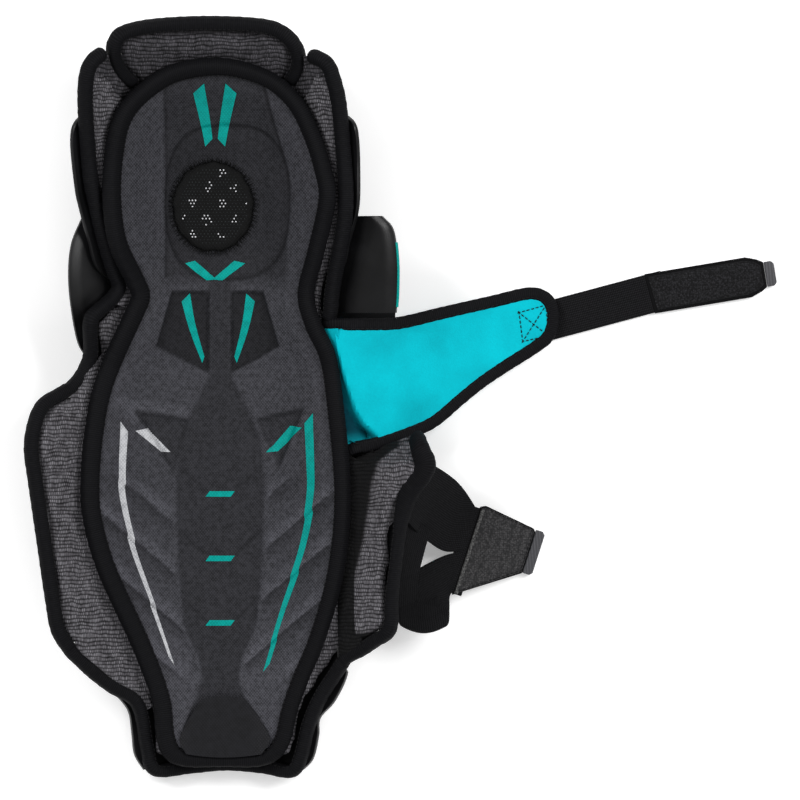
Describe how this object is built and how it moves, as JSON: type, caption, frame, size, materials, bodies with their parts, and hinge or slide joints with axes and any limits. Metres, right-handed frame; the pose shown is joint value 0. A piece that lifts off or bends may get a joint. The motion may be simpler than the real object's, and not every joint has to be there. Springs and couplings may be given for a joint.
{
  "type": "hockey shin guard",
  "caption": "Hockey shin guard lying leg side up: hard knee and shin caps on a padded carrier, with a lift-out liner, folding thigh flap and calf wings, a calf wrap and laid-out straps.",
  "frame": {"origin": "centre of the knee, on the flat front of the knee cap, which is the plane the guard rests on", "axes": "+Y up the leg to the thigh, +Z towards the leg, +X to the side the straps come from"},
  "size_m": [0.5361, 0.5421, 0.0957],
  "materials": {
    "shell_plastic": "moulded, satin",
    "rivet_steel": "satin",
    "knit_mesh": "padded knit mesh",
    "edge_binding": "folded woven tape",
    "liner_fabric": "moulded knit",
    "disc_mesh": "perforated mesh",
    "abrasion_film": "matt film",
    "hook_and_loop": "hook and loop",
    "wrap_neoprene": "laminated neoprene",
    "strap_webbing": "woven elastic",
    "pull_rubber": "moulded"
  },
  "bodies": {
    "shell": {"knee_cap": "shell_plastic", "shin_cap": "shell_plastic", "side_shield_left": "shell_plastic", "side_shield_right": "shell_plastic", "rivet_knee_upper_left": "rivet_steel", "rivet_knee_upper_right": "rivet_steel", "rivet_knee_side_left": "rivet_steel", "rivet_knee_side_right": "rivet_steel", "rivet_shin_upper_left": "rivet_steel", "rivet_shin_upper_right": "rivet_steel", "rivet_shin_lower_left": "rivet_steel", "rivet_shin_lower_right": "rivet_steel", "base_pad": "knit_mesh", "base_binding_left": "edge_binding", "base_binding_right": "edge_binding", "base_binding_hem": "edge_binding", "hook_dot_knee": "hook_and_loop", "hook_dot_shin": "hook_and_loop", "hook_dot_ankle": "hook_and_loop"},
    "liner": {"liner_pad": "liner_fabric", "liner_binding": "edge_binding", "knee_disc": "disc_mesh", "abrasion_patch": "abrasion_film", "loop_dot_knee": "hook_and_loop", "loop_dot_shin": "hook_and_loop", "loop_dot_ankle": "hook_and_loop"},
    "thigh_guard": {"thigh_guard_pad": "knit_mesh", "thigh_guard_binding": "edge_binding"},
    "calf_wing_left": {"calf_wing_left_pad": "knit_mesh", "calf_wing_left_binding": "edge_binding", "loop_patch_upper": "hook_and_loop", "loop_patch_lower": "hook_and_loop"},
    "calf_wing_right": {"calf_wing_right_pad": "knit_mesh", "calf_wing_right_binding": "edge_binding", "y_strap_anchor": "strap_webbing"},
    "calf_wrap": {"wrap_panel": "wrap_neoprene", "wrap_binding": "edge_binding", "upper_strap_tongue": "strap_webbing"},
    "upper_strap": {"upper_strap_elastic": "strap_webbing", "upper_strap_hook_tab": "strap_webbing", "upper_strap_pull": "pull_rubber"},
    "y_strap": {"y_strap_upper_leg": "strap_webbing", "y_strap_lower_leg": "strap_webbing"},
    "y_tab": {"y_strap_hook_tab": "strap_webbing", "y_strap_pull": "pull_rubber"}
  },
  "joints": [
    {"name": "liner_lift", "type": "slide", "parent": "shell", "child": "liner", "axis": [0, 0, 1], "range_m": [0, 0.1]},
    {"name": "thigh_guard_fold", "type": "hinge", "parent": "shell", "child": "thigh_guard", "pos_m": [0, 0.07446, 0.02125], "axis": [1, 0, 0], "range_deg": [-25, 0], "stiffness_Nm_per_rad": 0.8},
    {"name": "calf_wing_left_fold", "type": "hinge", "parent": "shell", "child": "calf_wing_left", "pos_m": [-0.09856, -0.224, 0.04532], "axis": [0, 1, 0], "range_deg": [0, 45], "stiffness_Nm_per_rad": 0.2},
    {"name": "calf_wing_right_fold", "type": "hinge", "parent": "shell", "child": "calf_wing_right", "pos_m": [0.09261, -0.2445, 0.04154], "axis": [0, -1, 0], "range_deg": [0, 45], "stiffness_Nm_per_rad": 0.2},
    {"name": "calf_wrap_fold", "type": "hinge", "parent": "shell", "child": "calf_wrap", "pos_m": [0.07823, -0.08516, 0.04482], "axis": [0.1457, -0.9884, -0.0424], "range_deg": [0, 60]},
    {"name": "upper_strap_fold", "type": "hinge", "parent": "calf_wrap", "child": "upper_strap", "pos_m": [0.2436, -0.08, 0.0024], "axis": [0.2588, -0.9659, 0], "range_deg": [0, 80]},
    {"name": "y_strap_fold", "type": "hinge", "parent": "calf_wing_right", "child": "y_strap", "pos_m": [0.124, -0.177, 0.05125], "axis": [0, -1, 0], "range_deg": [-25, 8]},
    {"name": "y_tab_fold", "type": "hinge", "parent": "y_strap", "child": "y_tab", "pos_m": [0.17513, -0.24659, 0.013], "axis": [-0.307, -0.9517, 0], "range_deg": [0, 90]}
  ]
}
